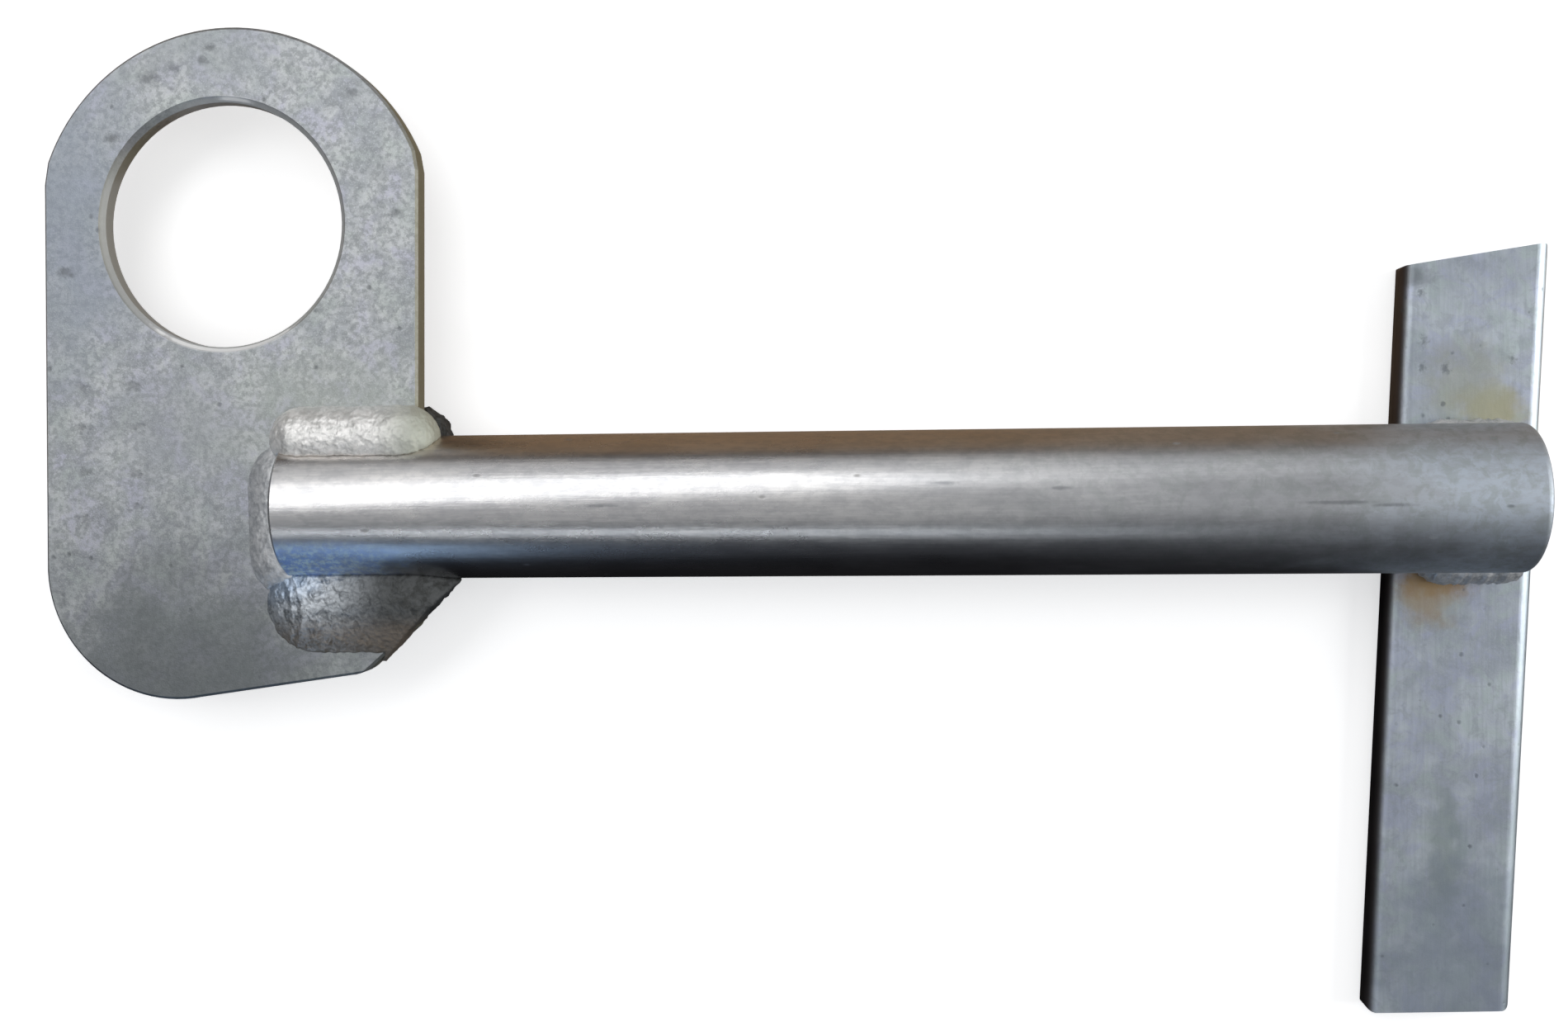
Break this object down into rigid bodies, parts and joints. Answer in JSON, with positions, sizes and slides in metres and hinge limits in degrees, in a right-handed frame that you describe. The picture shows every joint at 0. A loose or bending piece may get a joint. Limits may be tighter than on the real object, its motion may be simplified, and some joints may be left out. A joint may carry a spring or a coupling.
{
  "type": "cane bolt",
  "caption": "Short fabricated cane bolt: a round shank seated in a slotted eye plate, with a flat crossbar welded across its far end.",
  "frame": {"origin": "centre of the eye, on the eye plate's mid plane", "axes": "+X along the shank from the eye plate to the crossbar; +Y from the shank towards the eye; +Z out of the eye plate's front face, so the crossbar lies on the -Z side of the shank"},
  "size_m": [0.2016, 0.1338, 0.0239],
  "materials": {
    "plate_zinc": "dull zinc plating, mottled",
    "shank_steel": "drawn bar under thin zinc, bright",
    "bar_zinc": "bluish zinc plating with heat stains",
    "bright_weld": "rippled weld metal, bright",
    "plate_weld": "smooth weld metal under zinc",
    "dull_weld": "rippled weld metal, dull"
  },
  "bodies": {
    "root": {"eye_plate": "plate_zinc", "shank": "shank_steel", "crossbar": "bar_zinc", "upper_front_weld": "bright_weld", "end_front_weld": "plate_weld", "lower_front_weld": "dull_weld", "upper_rear_weld": "dull_weld", "lower_rear_weld": "dull_weld", "crossbar_upper_weld": "plate_weld", "crossbar_lower_weld": "plate_weld"}
  },
  "joints": []
}
